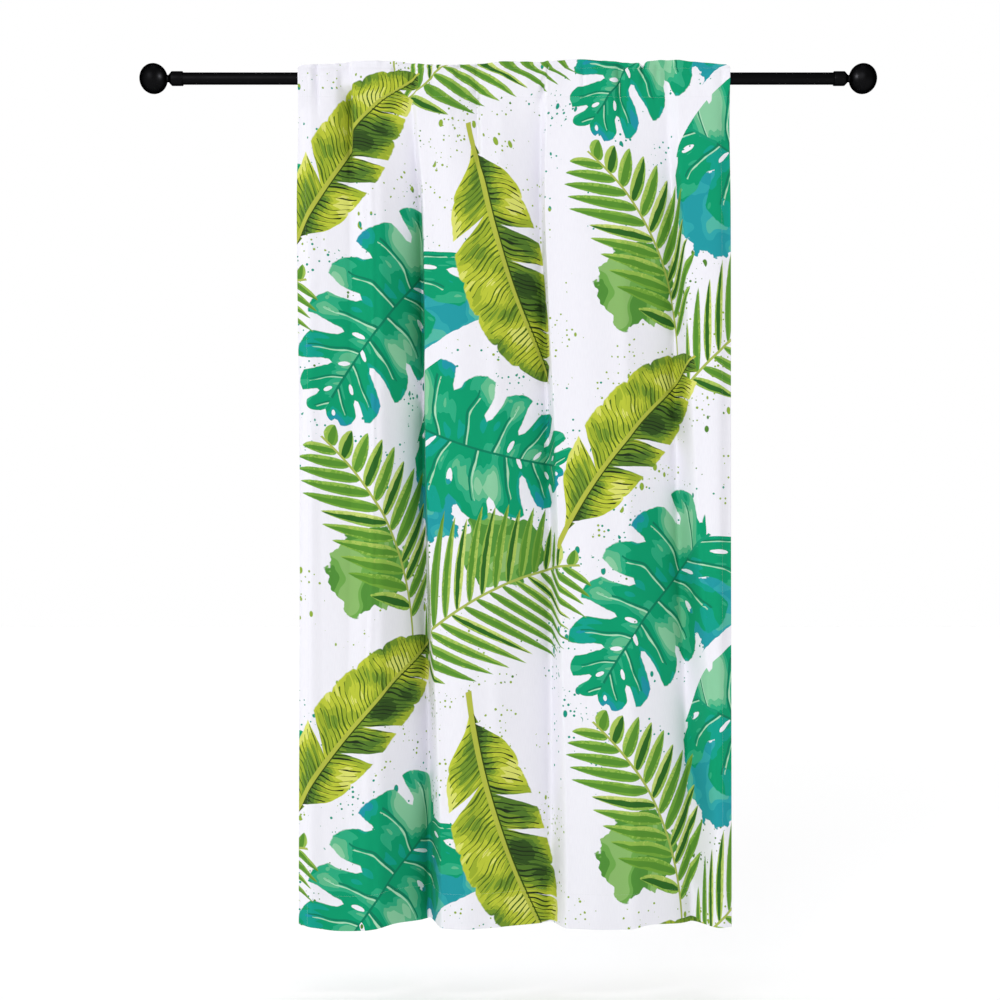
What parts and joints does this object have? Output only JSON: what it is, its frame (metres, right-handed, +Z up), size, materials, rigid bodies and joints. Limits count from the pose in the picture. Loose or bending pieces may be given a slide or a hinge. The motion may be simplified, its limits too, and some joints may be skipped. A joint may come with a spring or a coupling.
{
  "type": "blackout curtain with rod",
  "caption": "Printed blackout curtain panel with a sewn rod pocket, hanging in soft uneven folds on a plain black rod with tapered end collars and ball finials.",
  "frame": {"origin": "centre of the rod at the middle of its length", "axes": "+X along the rod to the viewer's right, -Y towards the room, +Z up"},
  "size_m": [1.824, 0.107, 2.1464],
  "materials": {
    "printed_cloth": "smooth matt white blackout cloth with a tropical leaf print in greens and teals",
    "rod_black": "satin black coating",
    "finial_black": "smooth satin black coating"
  },
  "bodies": {
    "root": {"curtain_panel": "printed_cloth", "rod": "rod_black", "collar_left": "rod_black", "collar_right": "rod_black", "ball_finial_left": "finial_black", "ball_finial_right": "finial_black"}
  },
  "joints": []
}
